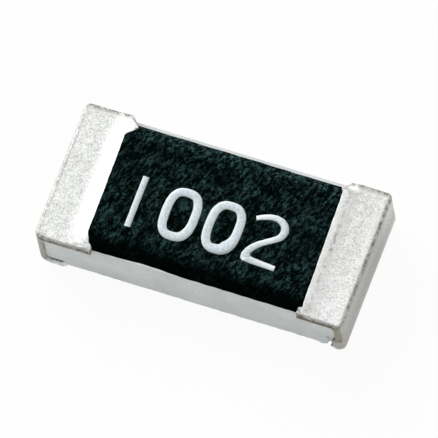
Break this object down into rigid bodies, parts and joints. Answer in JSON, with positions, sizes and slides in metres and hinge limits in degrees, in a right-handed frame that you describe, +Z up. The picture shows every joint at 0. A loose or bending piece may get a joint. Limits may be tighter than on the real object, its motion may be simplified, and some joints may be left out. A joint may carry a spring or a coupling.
{
  "type": "smd chip resistor",
  "caption": "Flat surface-mount chip resistor: ceramic block with a black overcoat on top and a tin-plated metal cap wrapped round each end for soldering to a board.",
  "frame": {"origin": "under the middle of the chip, on the plane that the two solder pads rest on", "axes": "+X along the chip from the left cap to the right cap, -Y the front long side, +Z up, away from the solder pads"},
  "size_m": [0.0032, 0.0016, 0.0007],
  "materials": {
    "alumina": "matte fired alumina",
    "silver_film": "matte fired silver film",
    "resistor_film": "satin fired resistor paste",
    "coat_glass": "glossy green glass",
    "overcoat": "satin black epoxy with a fine pebble",
    "nickel": "satin nickel plating",
    "tin": "matte tin plating",
    "marking_ink": "white printed ink"
  },
  "bodies": {
    "root": {"ceramic_substrate": "alumina", "top_electrode_left": "silver_film", "top_electrode_right": "silver_film", "bottom_electrode_left": "silver_film", "bottom_electrode_right": "silver_film", "resistive_film": "resistor_film", "inner_glass_coat": "coat_glass", "black_overcoat": "overcoat", "edge_electrode_left": "silver_film", "edge_electrode_right": "silver_film", "nickel_barrier_left": "nickel", "nickel_barrier_right": "nickel", "tin_cap_left": "tin", "tin_cap_right": "tin"}
  },
  "joints": []
}
